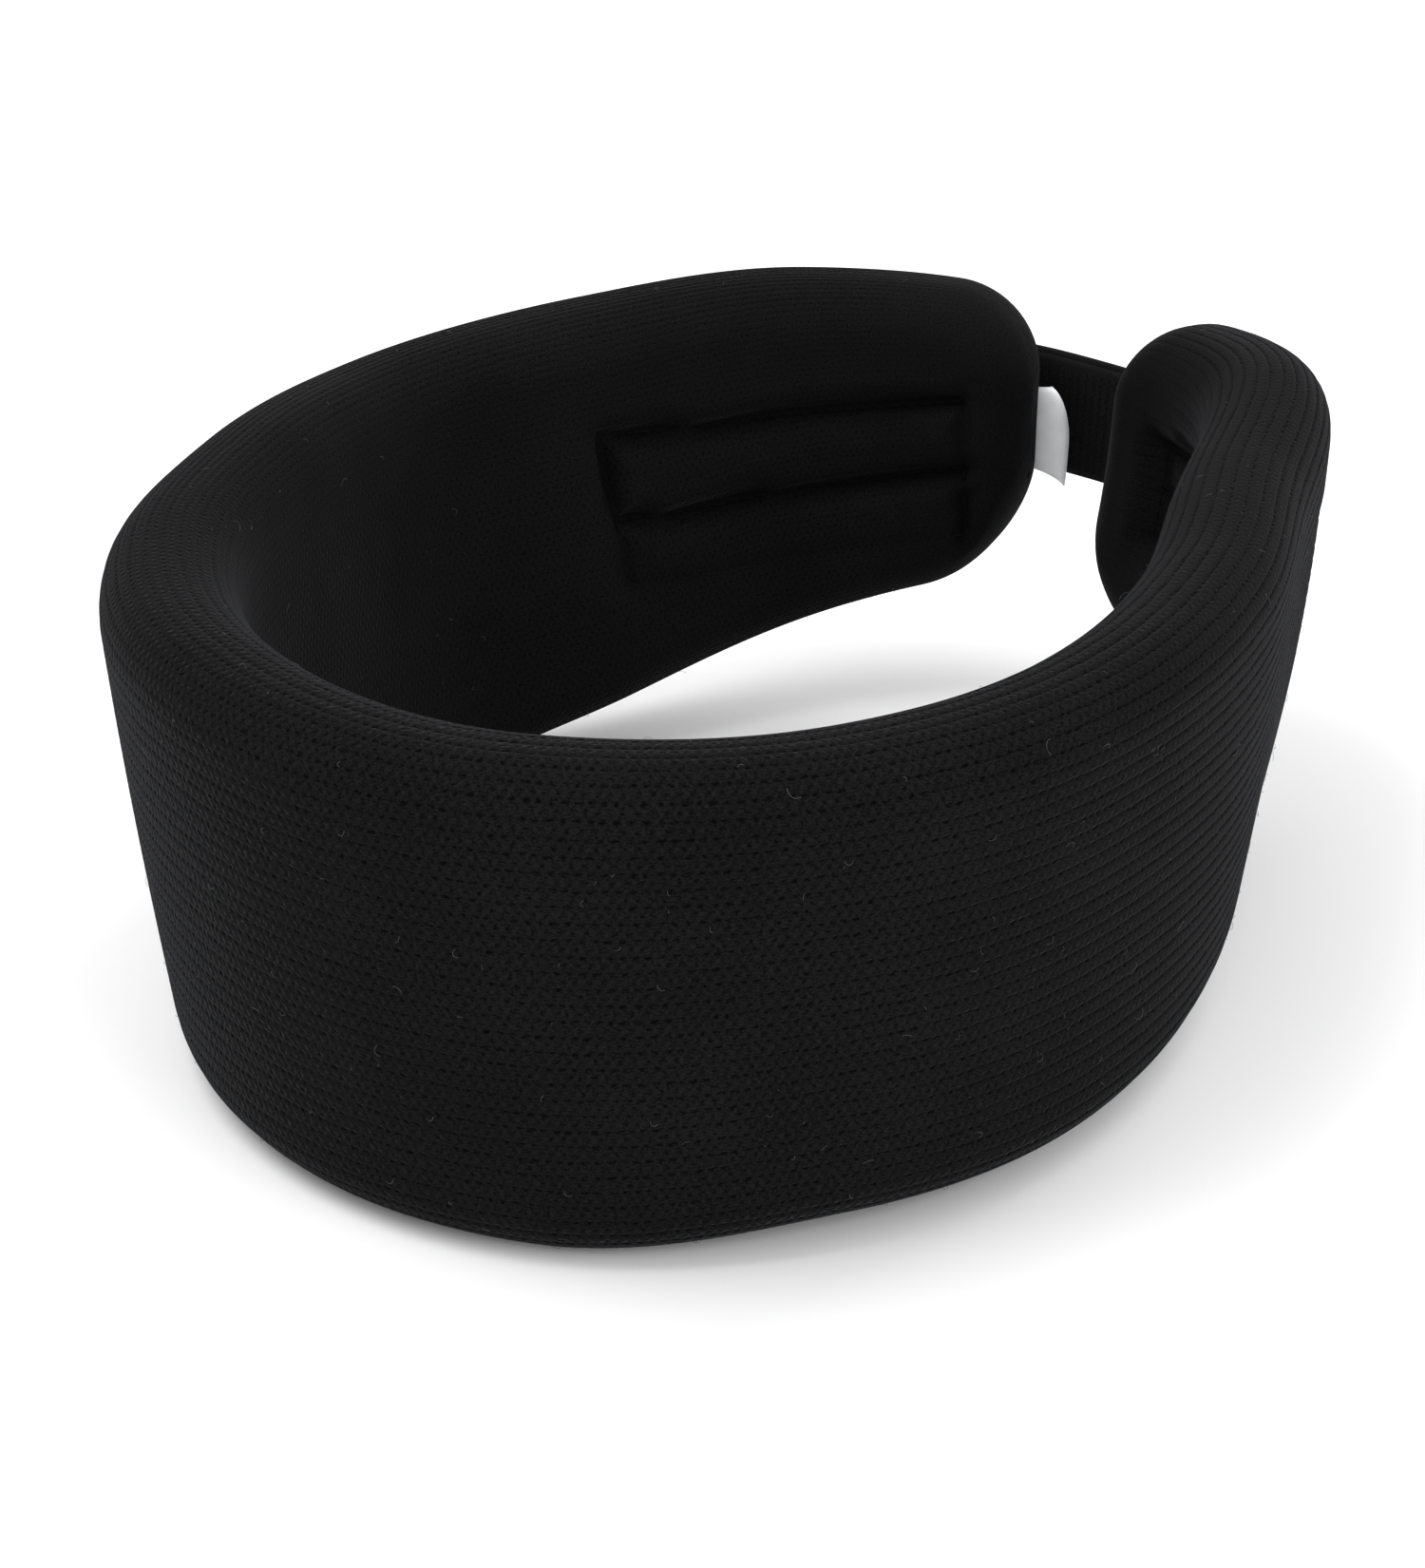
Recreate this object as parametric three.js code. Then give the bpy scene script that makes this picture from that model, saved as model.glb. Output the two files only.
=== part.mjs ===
// Cervical collar: a curled foam neck collar in a ribbed knit cover, closed at the back by a strap
// with hook tape that presses onto a sewn loop tape. Millimetres, +Z up. The front of the collar
// faces -Y, its opening faces +Y, and its lower edge stands on z = 0.
//
// A place on the collar is given as (s, n, z): s runs along the middle of the foam from the front
// (0) to the right tip (+) or the left tip (-), n is how far outside that middle line it lies.
import * as THREE from 'three';

// ---- driving dimensions: the padded band ----
const BAND_LENGTH = 516; // tip to tip, along the middle of the foam
const THICKNESS = 20; // over the cover
const FRONT_HEIGHT = 73;
const LAND = 8; // width of the flat that the lower edge stands on
const ROUNDING = 0.92; // corner radius as a share of half the thickness
const FRONT_LEAN = 5; // degrees that the wall leans outward going up
const FLAT_SHARE = 0.37; // share of each half whose lower edge stands on z = 0

// Bend radius of the middle line at shares of the half length: -1 is the left tip, 1 the right
const BENDS = [
  [-1, 57], [-5 / 6, 73], [-2 / 3, 125], [-1 / 3, 103], [0, 65],
  [1 / 3, 67], [2 / 3, 2000], [5 / 6, 82], [1, 69],
];

// Each side's top edge, lower edge, end corners, and lean in degrees at its tip
const LEFT = { midTop: 2.4, tipTop: -3.4, tipLift: 26, topCorner: 14, bottomCorner: 18, lean: 5 };
const RIGHT = { midTop: 1.7, tipTop: -2.5, tipLift: 25, topCorner: 17, bottomCorner: 18, lean: 9 };
const LIFT_POWER = 1.9; // how suddenly the lower edge rises towards a tip
const MIDWAY = 0.55; // share of the half length at which midTop holds

// ---- driving dimensions: cover, tapes, thread, label ----
const COVER_WALL = 1.2; // knit fabric
const CLEARANCE = 0.3; // left between neighbouring pieces
const SPLIT = 100; // station of the side bends, where the band is cut into front and wings
const STRAP_WIDTH = 20;
const STRAP_THICK = 1.2;
const STRAP_ON_LEFT = 47.5; // height of the strap's middle where it lies on the left wing
const STRAP_ON_RIGHT = 46; // and where it is sewn to the right wing
const STRAP_REACH = 70; // from the left tip to the strap's free end
const HOOK_WIDTH = 17;
const TAPE_THICK = 1.4; // hook tape and loop tape with their pile
const LOOP_LENGTH = 74;
const LOOP_WIDTH = 30;
const LOOP_MIDDLE = 43; // height of the loop tape's middle
const LOOP_SETBACK = 8; // from the left tip to the loop tape
const ANCHOR_LENGTH = 40; // sewn-down part of the strap
const ANCHOR_SETBACK = 19; // from the right tip to the sewn-down part
const THREAD = 0.5; // diameter
const SEAM_MARGIN = 2.2; // stitch line to tape edge
const TAPE_CORNER = 2.5;
const LABEL = { middle: 47.5, height: 13.5, reach: 4.2, thick: 0.5, offset: 3, slant: 2.6 };

// ---- fineness of the faceted solids ----
const STATION_STEP = 12;
const ARC_STEPS = 3;
const FACE_STEPS = 3;
const TIP_STEPS = 5;
const THREAD_SIDES = 5;

const HALF_LENGTH = BAND_LENGTH / 2;
const HALF_THICK = THICKNESS / 2;
const { degToRad, lerp, clamp } = THREE.MathUtils;

// ---- middle line ----

/** Curvature of the middle line at station s, between the listed bend radii. */
function curvature(s) {
  const share = clamp(s / HALF_LENGTH, -1, 1);
  const next = Math.max(BENDS.findIndex(([end]) => end >= share), 1);
  const [from, radius] = BENDS[next - 1];
  const [to, nextRadius] = BENDS[next];
  return lerp(1 / radius, 1 / nextRadius, (share - from) / (to - from));
}

/** Plan places one millimetre apart from the front to one tip; side is 1 (right) or -1 (left). */
function walk(side) {
  const places = [{ x: 0, y: 0, heading: 0 }];
  for (let s = 0; s < HALF_LENGTH; s += 1) {
    const from = places[places.length - 1];
    const turn = curvature(side * (s + 0.5)) * side;
    const middle = from.heading + turn / 2;
    places.push({
      x: from.x + side * Math.cos(middle),
      y: from.y + side * Math.sin(middle),
      heading: from.heading + turn,
    });
  }
  return places;
}

const WALKS = { left: walk(-1), right: walk(1) };

/** Plan place and heading of the middle line at station s. */
function spot(s) {
  const places = s < 0 ? WALKS.left : WALKS.right;
  const whole = Math.min(Math.floor(Math.abs(s)), places.length - 2);
  const a = places[whole];
  const b = places[whole + 1];
  const t = Math.abs(s) - whole;
  return { x: lerp(a.x, b.x, t), y: lerp(a.y, b.y, t), heading: lerp(a.heading, b.heading, t) };
}

// ---- edges and thickness ----

const sideOf = (s) => (s < 0 ? LEFT : RIGHT);

/** Rise of the top edge: 0 at the front, midway at MIDWAY and tip at the tip. */
function topRise(s, midway, tip) {
  const square = (s / HALF_LENGTH) ** 2;
  const midSquare = MIDWAY ** 2;
  const fourth = (midway / midSquare - tip) / (midSquare - 1);
  return (tip - fourth) * square + fourth * square ** 2;
}

/** How much a corner of the given radius takes off an edge, depth mm from the end. */
function cornerCut(radius, depth) {
  const reach = clamp(radius - depth, 0, radius);
  return radius - Math.sqrt(radius ** 2 - reach ** 2);
}

const depthOf = (s, inset) => Math.max(HALF_LENGTH - inset - Math.abs(s), 0);

function topEdge(s, inset) {
  const side = sideOf(s);
  const corner = cornerCut(side.topCorner - inset, depthOf(s, inset));
  return FRONT_HEIGHT + topRise(s, side.midTop, side.tipTop) - inset - corner;
}

function bottomEdge(s, inset) {
  const side = sideOf(s);
  const corner = cornerCut(side.bottomCorner - inset, depthOf(s, inset));
  const share = clamp((Math.abs(s) / HALF_LENGTH - FLAT_SHARE) / (1 - FLAT_SHARE), 0, 1);
  return side.tipLift * share ** LIFT_POWER + inset + corner;
}

/** Half the band's thickness at station s: full, then closing in a half circle at the tip. */
function halfThickness(s, inset) {
  const radius = HALF_THICK - inset;
  const reach = clamp(radius - depthOf(s, inset), 0, radius);
  return Math.sqrt(radius ** 2 - reach ** 2);
}

/** The point at station s, n outside the middle line and z up, on the leaning wall. */
function at(s, n, z) {
  const { x, y, heading } = spot(s);
  const lean = lerp(FRONT_LEAN, sideOf(s).lean, (s / HALF_LENGTH) ** 2);
  const out = n + (z - FRONT_HEIGHT / 2) * Math.tan(degToRad(lean));
  return new THREE.Vector3(x + out * Math.sin(heading), y - out * Math.cos(heading), z);
}

// ---- solids ----

/** Closed solid through rings of points; wrap joins the last ring to the first. */
function loft(rings, wrap = false) {
  const count = rings[0].length;
  const index = [];
  const bands = wrap ? rings.length : rings.length - 1;
  for (let r = 0; r < bands; r += 1) {
    const a = r * count;
    const b = ((r + 1) % rings.length) * count;
    for (let i = 0; i < count; i += 1) {
      const j = (i + 1) % count;
      index.push(a + i, b + i, b + j, a + i, b + j, a + j);
    }
  }
  const last = (rings.length - 1) * count;
  for (let i = 1; i < count - 1 && !wrap; i += 1) {
    index.push(0, i, i + 1, last, last + i + 1, last + i);
  }
  const points = rings.flat();
  const volume = (a, b, c) => points[a].dot(points[b].clone().cross(points[c]));
  let total = 0;
  for (let i = 0; i < index.length; i += 3) total += volume(index[i], index[i + 1], index[i + 2]);
  if (total < 0) index.reverse();
  const geometry = new THREE.BufferGeometry().setFromPoints(points);
  geometry.setIndex(index);
  geometry.computeVertexNormals();
  return geometry;
}

/** Outline of the band's cross-section at station s, pulled in by inset all round. */
function section(s, inset) {
  const half = halfThickness(s, inset);
  const top = topEdge(s, inset);
  const bottom = bottomEdge(s, inset);
  const topRadius = Math.min(ROUNDING * half, (top - bottom) / 2);
  const bottomRadius = Math.min(Math.max(half - LAND / 2, half / 2), (top - bottom) / 2);
  const corners = [
    { side: 1, radius: bottomRadius, z: bottom + bottomRadius, from: -90 },
    { side: 1, radius: topRadius, z: top - topRadius, from: 0 },
    { side: -1, radius: topRadius, z: top - topRadius, from: 90 },
    { side: -1, radius: bottomRadius, z: bottom + bottomRadius, from: 180 },
  ];
  const points = [];
  corners.forEach((corner, c) => {
    for (let i = 0; i <= ARC_STEPS; i += 1) {
      const angle = degToRad(corner.from + (90 * i) / ARC_STEPS);
      const n = corner.side * (half - corner.radius) + corner.radius * Math.cos(angle);
      points.push(at(s, n, corner.z + corner.radius * Math.sin(angle)));
    }
    const next = corners[c + 1];
    for (let i = 1; i < FACE_STEPS && next && next.side === corner.side; i += 1) {
      points.push(at(s, corner.side * half, lerp(corner.z, next.z, i / FACE_STEPS)));
    }
  });
  return points;
}

/** Even steps from one station to another, both included. */
function stations(from, to, step = STATION_STEP) {
  const count = Math.max(1, Math.round(Math.abs(to - from) / step));
  return Array.from({ length: count + 1 }, (_, i) => lerp(from, to, i / count));
}

/** Stations of one wing, closer together where its tip rounds off; side is 1 or -1. */
function wingStations(side, inset) {
  const corner = 20;
  const list = stations(SPLIT + CLEARANCE / 2, HALF_LENGTH - corner);
  const radius = HALF_THICK - inset;
  list.push(HALF_LENGTH - (corner + HALF_THICK) / 2);
  for (let i = 0; i < TIP_STEPS; i += 1) {
    const angle = degToRad((80 * i) / (TIP_STEPS - 1));
    list.push(HALF_LENGTH - HALF_THICK + radius * Math.sin(angle));
  }
  return list.map((s) => side * s);
}

const frontStations = () => stations(-SPLIT + CLEARANCE / 2, SPLIT - CLEARANCE / 2);

const rings = (list, inset) => list.map((s) => section(s, inset));

/** Tube of cover fabric round the front part of the foam, open at both ends. */
function frontCover() {
  const outside = rings(frontStations(), 0);
  const inside = rings(frontStations(), COVER_WALL).reverse();
  return loft([...outside, ...inside], true);
}

/** Sock of cover fabric round one wing, closed at its tip. */
function wingCover(side) {
  const outside = rings(wingStations(side, 0), 0);
  const inside = rings(wingStations(side, COVER_WALL), COVER_WALL).reverse();
  return loft([...inside, ...outside]);
}

const FOAM_INSET = COVER_WALL + CLEARANCE;
const frontFoam = () => loft(rings(frontStations(), FOAM_INSET));
const wingFoam = (side) => loft(rings(wingStations(side, FOAM_INSET), FOAM_INSET));

/** Flat tape lying on the outer or inner face, with rounded corners. */
function patch(from, to, middle, width, n, thick) {
  const list = [from, from + TAPE_CORNER / 2, ...stations(from + TAPE_CORNER, to - TAPE_CORNER, 8)];
  list.push(to - TAPE_CORNER / 2, to);
  return loft(list.map((s) => {
    const cut = cornerCut(TAPE_CORNER, Math.min(s - from, to - s));
    const low = middle - width / 2 + cut;
    const high = middle + width / 2 - cut;
    return [at(s, n, low), at(s, n + thick, low), at(s, n + thick, high), at(s, n, high)];
  }));
}

/** The strap's lane: the smooth way through places {s, n, z}, measured in mm from its start. */
function lane(places) {
  const guide = new THREE.CatmullRomCurve3(places.map(({ s, n, z }) => at(s, n, z)));
  const length = guide.getLength();
  const point = (along, up, out) => {
    const t = guide.getUtoTmapping(clamp(along / length, 0, 1));
    return new THREE.CatmullRomCurve3(places.map(({ s, n, z }) => at(s, n + out, z + up))).getPoint(t);
  };
  return { length, point };
}

/** Flat webbing along a lane, width wide and thick mm outward from out. */
function webbing(way, from, to, width, out, thick) {
  return loft(stations(from, to, 5).map((along) => [
    way.point(along, -width / 2, out), way.point(along, -width / 2, out + thick),
    way.point(along, width / 2, out + thick), way.point(along, width / 2, out),
  ]));
}

/** Thread along a route of [along, up] corners; place(along, up, out) puts it on its surface. */
function thread(route, out, place) {
  const radius = THREAD / 2;
  const points = [];
  route.slice(1).forEach(([a, b], i) => {
    const [a0, b0] = route[i];
    const count = Math.max(1, Math.round(Math.hypot(a - a0, b - b0) / 7));
    for (let k = i === 0 ? 0 : 1; k <= count; k += 1) {
      points.push([lerp(a0, a, k / count), lerp(b0, b, k / count)]);
    }
  });
  return loft(points.map(([a, b], i) => {
    const before = points[Math.max(i - 1, 0)];
    const after = points[Math.min(i + 1, points.length - 1)];
    const run = new THREE.Vector2(after[0] - before[0], after[1] - before[1]).normalize();
    return Array.from({ length: THREAD_SIDES }, (_, k) => {
      const angle = (2 * Math.PI * k) / THREAD_SIDES;
      const across = radius * Math.cos(angle);
      return place(a - run.y * across, b + run.x * across, out + radius * Math.sin(angle));
    });
  }));
}

/** Places a thread on a wing's face: along is the station, up the height. */
const onFace = (along, up, out) => at(along, out, up);

/** Route of one stitch line round a box with a line across its middle, drawn in one go. */
function boxRoute(from, to, middle, width) {
  const gap = 2 * THREAD;
  const low = middle - width / 2;
  const high = middle + width / 2;
  return [
    [from, middle + gap], [from, high], [to, high], [to, middle],
    [from, middle], [from, low], [to, low], [to, middle - gap],
  ];
}

/** Vertical thread just outside a tip, closing the end of the cover; side is 1 or -1. */
function endSeam(side, n) {
  const s = side * (HALF_LENGTH + CLEARANCE + THREAD / 2);
  const low = bottomEdge(side * (HALF_LENGTH - 1), 0) + 4;
  const high = topEdge(side * (HALF_LENGTH - 1), 0) - 4;
  return thread([[s, low], [s, high]], n, onFace);
}

// ---- layers on the outer face, as distances from the middle line ----
const FACE = HALF_THICK + CLEARANCE;
const LOOP_THREAD_N = FACE + TAPE_THICK + CLEARANCE + THREAD / 2;
const HOOK_N = LOOP_THREAD_N + THREAD / 2 + CLEARANCE;
const STRAP_ON_HOOK_N = HOOK_N + TAPE_THICK + CLEARANCE;
const ON_WEBBING = STRAP_THICK + CLEARANCE + THREAD / 2; // middle of a thread, from webbing's inner face
const INNER_THREAD_N = -(HALF_THICK + CLEARANCE + THREAD / 2);

// ---- places along the wings ----
const LOOP_FROM = -(HALF_LENGTH - LOOP_SETBACK);
const LOOP_TO = LOOP_FROM + LOOP_LENGTH;
const ANCHOR_TO = HALF_LENGTH - ANCHOR_SETBACK;
const ANCHOR_FROM = ANCHOR_TO - ANCHOR_LENGTH;
const STRAP_END = -(HALF_LENGTH - STRAP_REACH);

// the strap's free part: from its hinge past the right tip, over the opening, onto the left wing
const strapWay = lane([
  { s: ANCHOR_TO + CLEARANCE, n: FACE, z: STRAP_ON_RIGHT },
  { s: HALF_LENGTH - 9, n: FACE, z: STRAP_ON_RIGHT },
  ...stations(LOOP_FROM - 2, STRAP_END, 14).map((s) => ({ s, n: STRAP_ON_HOOK_N, z: STRAP_ON_LEFT })),
]);
const HOOK_START = ANCHOR_SETBACK + 3; // along the strap, just past the right tip
const HOOK_END = strapWay.length - 2;

/** Satin label from the left tip into the opening, its lower corner hanging a little. */
function careLabel() {
  const { middle, height, reach, thick, offset, slant } = LABEL;
  const high = middle + height / 2;
  return loft([0, 0.5, 1].map((share) => {
    const s = -(HALF_LENGTH + CLEARANCE + reach * share);
    const low = middle - height / 2 - slant * share;
    return [at(s, offset, low), at(s, offset + thick, low), at(s, offset + thick, high), at(s, offset, high)];
  }));
}

// ---- looks ----
const fabric = (color, roughness) => new THREE.MeshStandardMaterial({ color, roughness, metalness: 0 });
const knit = fabric(0x121317, 0.95);
const foam = fabric(0xd9d4c4, 0.9);
const strapFabric = fabric(0x141418, 0.85);
const hookPlastic = fabric(0x0d0d0f, 0.6);
const loopPile = fabric(0x15161a, 1);
const sewingThread = fabric(0x18181c, 0.7);
const satin = fabric(0xf1f1ef, 0.45);

const group = new THREE.Group();

function add(name, geometry, material) {
  const mesh = new THREE.Mesh(geometry, material);
  mesh.name = name;
  group.add(mesh);
}

// front
add('foam_core_front', frontFoam(), foam);
add('knit_cover_front', frontCover(), knit);

// left wing: loop tape and care label
const loopSeam = boxRoute(
  LOOP_FROM + SEAM_MARGIN, LOOP_TO - SEAM_MARGIN, LOOP_MIDDLE, LOOP_WIDTH - 2 * SEAM_MARGIN,
);
add('foam_core_left', wingFoam(-1), foam);
add('knit_cover_left', wingCover(-1), knit);
add('loop_tape', patch(LOOP_FROM, LOOP_TO, LOOP_MIDDLE, LOOP_WIDTH, FACE, TAPE_THICK), loopPile);
add('loop_tape_stitch', thread(loopSeam, LOOP_THREAD_N, onFace), sewingThread);
add('loop_tape_bobbin_stitch', thread(loopSeam, INNER_THREAD_N, onFace), sewingThread);
add('end_seam_left', endSeam(-1, 0), sewingThread);
add('care_label', careLabel(), satin);

// right wing: sewn-down end of the strap
const anchorSeam = boxRoute(
  ANCHOR_FROM + SEAM_MARGIN, ANCHOR_TO - SEAM_MARGIN, STRAP_ON_RIGHT, STRAP_WIDTH - 2 * SEAM_MARGIN,
);
const anchor = patch(ANCHOR_FROM, ANCHOR_TO, STRAP_ON_RIGHT, STRAP_WIDTH, FACE, STRAP_THICK);
add('foam_core_right', wingFoam(1), foam);
add('knit_cover_right', wingCover(1), knit);
add('strap_anchor', anchor, strapFabric);
add('anchor_stitch', thread(anchorSeam, FACE + ON_WEBBING, onFace), sewingThread);
add('anchor_bobbin_stitch', thread(anchorSeam, INNER_THREAD_N, onFace), sewingThread);
add('end_seam_right', endSeam(1, 0), sewingThread);

// strap
const hookSeam = boxRoute(
  HOOK_START + SEAM_MARGIN, HOOK_END - SEAM_MARGIN, 0, HOOK_WIDTH - 2 * SEAM_MARGIN,
);
const hookOut = -(CLEARANCE + TAPE_THICK);
const strap = webbing(strapWay, 0, strapWay.length, STRAP_WIDTH, 0, STRAP_THICK);
add('closure_strap', strap, strapFabric);
add('hook_tape', webbing(strapWay, HOOK_START, HOOK_END, HOOK_WIDTH, hookOut, TAPE_THICK), hookPlastic);
add('hook_tape_stitch', thread(hookSeam, ON_WEBBING, strapWay.point), sewingThread);

// the origin is the middle of the collar's footprint
const box = new THREE.Box3().setFromObject(group);
group.position.set(-(box.min.x + box.max.x) / 2, -(box.min.y + box.max.y) / 2, -box.min.z);
group.updateMatrixWorld(true);

export default group;
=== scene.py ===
"""Looks of the cervical collar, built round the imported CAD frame.

A place on the collar is (s, n, z) in millimetres, as in the CAD: s runs along the middle of the foam
from the front (0) to the right tip (+) or the left tip (-), n is how far outside that line it lies,
and z is its height. Meshes are made in millimetres and stored in metres.
"""

import bpy
import numpy as np
from mathutils import Matrix, Vector


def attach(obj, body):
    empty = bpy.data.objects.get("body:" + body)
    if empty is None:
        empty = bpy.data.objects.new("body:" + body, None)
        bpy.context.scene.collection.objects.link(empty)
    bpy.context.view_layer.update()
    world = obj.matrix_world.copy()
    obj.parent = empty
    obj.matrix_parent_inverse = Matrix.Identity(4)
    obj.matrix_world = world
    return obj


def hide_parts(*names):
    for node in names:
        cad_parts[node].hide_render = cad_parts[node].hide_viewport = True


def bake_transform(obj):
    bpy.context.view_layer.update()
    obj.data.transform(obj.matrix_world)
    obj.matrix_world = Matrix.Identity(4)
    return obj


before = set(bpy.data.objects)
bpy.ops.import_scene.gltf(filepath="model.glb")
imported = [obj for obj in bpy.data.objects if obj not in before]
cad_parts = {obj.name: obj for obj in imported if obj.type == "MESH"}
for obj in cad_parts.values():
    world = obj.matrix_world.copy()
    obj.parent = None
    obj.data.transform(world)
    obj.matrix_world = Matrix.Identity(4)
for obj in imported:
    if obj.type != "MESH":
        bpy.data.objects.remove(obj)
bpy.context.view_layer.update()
rng = np.random.default_rng(7)

# ---- the band, as in the CAD ----
HALF = 258.0
HALF_THICK = 10.0
FRONT_HEIGHT = 73.0
LAND = 3.0
ROUNDING = 0.92
FRONT_LEAN = 5.0
FLAT_SHARE = 0.37
# Bend radius of the middle line at shares of the half length. These radii, and the edges and leans
# below, are the rounded result of a search that matched the outline to the photograph.
BENDS = [
    (-1, 57), (-5 / 6, 73), (-2 / 3, 125), (-1 / 3, 103), (0, 65),
    (1 / 3, 67), (2 / 3, 2000), (5 / 6, 82), (1, 69),
]
LEFT = dict(mid_top=2.4, tip_top=-3.4, tip_lift=26.0, top_corner=14.0, bottom_corner=18.0, lean=5.0)
RIGHT = dict(mid_top=1.7, tip_top=-2.5, tip_lift=25.0, top_corner=17.0, bottom_corner=18.0, lean=9.0)
LIFT_POWER = 1.9
MIDWAY = 0.55
FRONT_PLACE = (7.508, -96.685)  # where the middle line passes s = 0

# Shifts of the band in millimetres at shares of the half length, outward and up. They were not chosen
# by hand: a search that matched the outline to the photograph printed all four rows.
SETTLE_AT = np.array([-1, -0.85, -0.7, -0.55, -0.4, -0.25, -0.1, 0.1, 0.25, 0.4, 0.55, 0.7, 0.85, 1])
SETTLE_TOP = np.array([
    1.49, 1.47, 0.07, -1.28, 0.72, 1.71, 2.4,
    0.94, -0.53, -1.09, -1.62, -0.74, 1.15, -0.44,
])
SETTLE_LOW = np.array([
    -0.43, 0.87, 0.13, 0.11, -0.69, -0.36, -0.89,
    -0.41, 2.24, 1.62, -0.1, -1.39, 1.02, -0.3,
])
SETTLE_OUT = np.array([
    -0.49, -2.3, -2.38, 1.88, -0.69, 0.43, 1.3,
    2.26, 0.64, 0.24, -0.72, -2.91, -0.48, -3.97,
])
SETTLE_BULGE = np.array([
    -0.62, 0.22, -0.89, 1.14, 1.05, 1.14, -0.58,
    0.39, -0.22, -1.42, 0.67, 2.02, 1.45, 2.26,
])

# ---- knit, tapes and seams ----
WALES = 72  # ribs round the band
COURSE = 1.4  # stitch length along a rib
WALE = 2.39  # width of a rib
RIB_DEPTH = 0.27
INNER_WALES, RIM_WALES = 0.75 * WALES, 0.5 * WALES  # middle of the inner face, and of the top rim
COVER_WALL = 1.1
POINTS_PER_WALE = 6
STATIONS = 186  # from the front to where a tip starts to round off
TIP_RINGS = 14
LOOP_SEAM = dict(
    name="loop", front=((-178.5, 31.0), (-175.5, 56.3)), tip=((-249.0, 32.5), (-247.5, 54.6)),
    cross=(0.41, 0.50), sag=3.0,
)  # corners as (s, z), low and high; where the line across starts and ends; how far the long lines hang
ANCHOR_SEAM = dict(
    name="anchor", front=((201.2, 38.2), (201.2, 53.8)), tip=((236.8, 38.2), (236.8, 53.8)),
    cross=(0.5, 0.5), sag=0.0,
)
STRAP_HALF = 10.0
HOOK_HALF = 9.3
WEB_THICK = 1.2
SEAM_MARGIN = 2.2  # from a stitch line to the tape's edge
GROOVE_NARROW, GROOVE_WIDE = 1.2, 4.0  # widths of the two hollows that make up a sewn groove
INNER_GROOVES = {"loop": (1.0, 1.05), "anchor": (0.5, 0.7)}  # depth of each line, narrow and wide


# ---- shape of the band ----

def smooth(t):
    """Soft step from 0 to 1."""
    t = np.clip(t, 0, 1)
    return t * t * (3 - 2 * t)


def bell(distance, width):
    """1 at distance 0, falling to 0 over about twice the width."""
    return np.exp(-((distance / width) ** 2))


def unit(v):
    """Vectors brought to length 1."""
    return v / np.maximum(np.linalg.norm(v, axis=-1, keepdims=True), 1e-12)


def walk(side):
    """Plan places and headings 1 mm apart from the front to one tip."""
    middle = side * (np.arange(HALF) + 0.5) / HALF
    turn = side * np.interp(middle, [b[0] for b in BENDS], [1 / b[1] for b in BENDS])
    heading = np.concatenate([[0], np.cumsum(turn)])
    mean = heading[:-1] + turn / 2
    x = side * np.concatenate([[0], np.cumsum(np.cos(mean))])
    y = side * np.concatenate([[0], np.cumsum(np.sin(mean))])
    return np.stack([x, y, heading])


WALKS = {-1: walk(-1), 1: walk(1)}


def spot(s):
    """Plan place and heading of the middle line at stations s, running on straight past the tips."""
    s = np.asarray(s, float)
    whole = np.minimum(np.floor(np.abs(s)), HALF - 1).astype(int)
    t = np.abs(s) - whole
    found = []
    for k in range(3):
        a = np.where(s < 0, WALKS[-1][k][whole], WALKS[1][k][whole])
        b = np.where(s < 0, WALKS[-1][k][whole + 1], WALKS[1][k][whole + 1])
        found.append(a + (b - a) * t)
    return found


def of_side(s, name):
    """A measure of the left or the right side, by the sign of s."""
    return np.where(np.asarray(s) < 0, LEFT[name], RIGHT[name])


def settled(s, shifts):
    """The band's shift at stations s, easing from knot to knot."""
    share = np.clip(s / HALF, -1, 1)
    knot = np.clip(np.searchsorted(SETTLE_AT, share, side="right") - 1, 0, len(SETTLE_AT) - 2)
    t = smooth((share - SETTLE_AT[knot]) / (SETTLE_AT[knot + 1] - SETTLE_AT[knot]))
    return shifts[knot] * (1 - t) + shifts[knot + 1] * t


def at(s, n, z):
    """Places in the row frame, in millimetres, on the settled band."""
    s, n, z = np.broadcast_arrays(*(np.asarray(a, float) for a in (s, n, z)))
    x, y, heading = spot(s)
    bottom, top, _ = edges(np.clip(s, 20 - HALF, HALF - 20), 0.0)
    share = np.clip((z - bottom) / (top - bottom), 0, 1)
    z = z + settled(s, SETTLE_LOW) * (1 - share) + settled(s, SETTLE_TOP) * share
    z = np.where(share < 1, np.maximum(z, 0), z)
    n = n + settled(s, SETTLE_OUT) + settled(s, SETTLE_BULGE) * 4 * share * (1 - share)
    lean = FRONT_LEAN + (of_side(s, "lean") - FRONT_LEAN) * (s / HALF) ** 2
    out = n + (z - FRONT_HEIGHT / 2) * np.tan(np.radians(lean))
    return np.stack(
        [x + out * np.sin(heading) + FRONT_PLACE[0], y - out * np.cos(heading) + FRONT_PLACE[1], z], -1
    )


def corner_cut(radius, depth):
    """How far a rounded corner cuts in, at a depth from the tip."""
    reach = np.clip(radius - depth, 0, radius)
    return radius - np.sqrt(radius**2 - reach**2)


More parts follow.
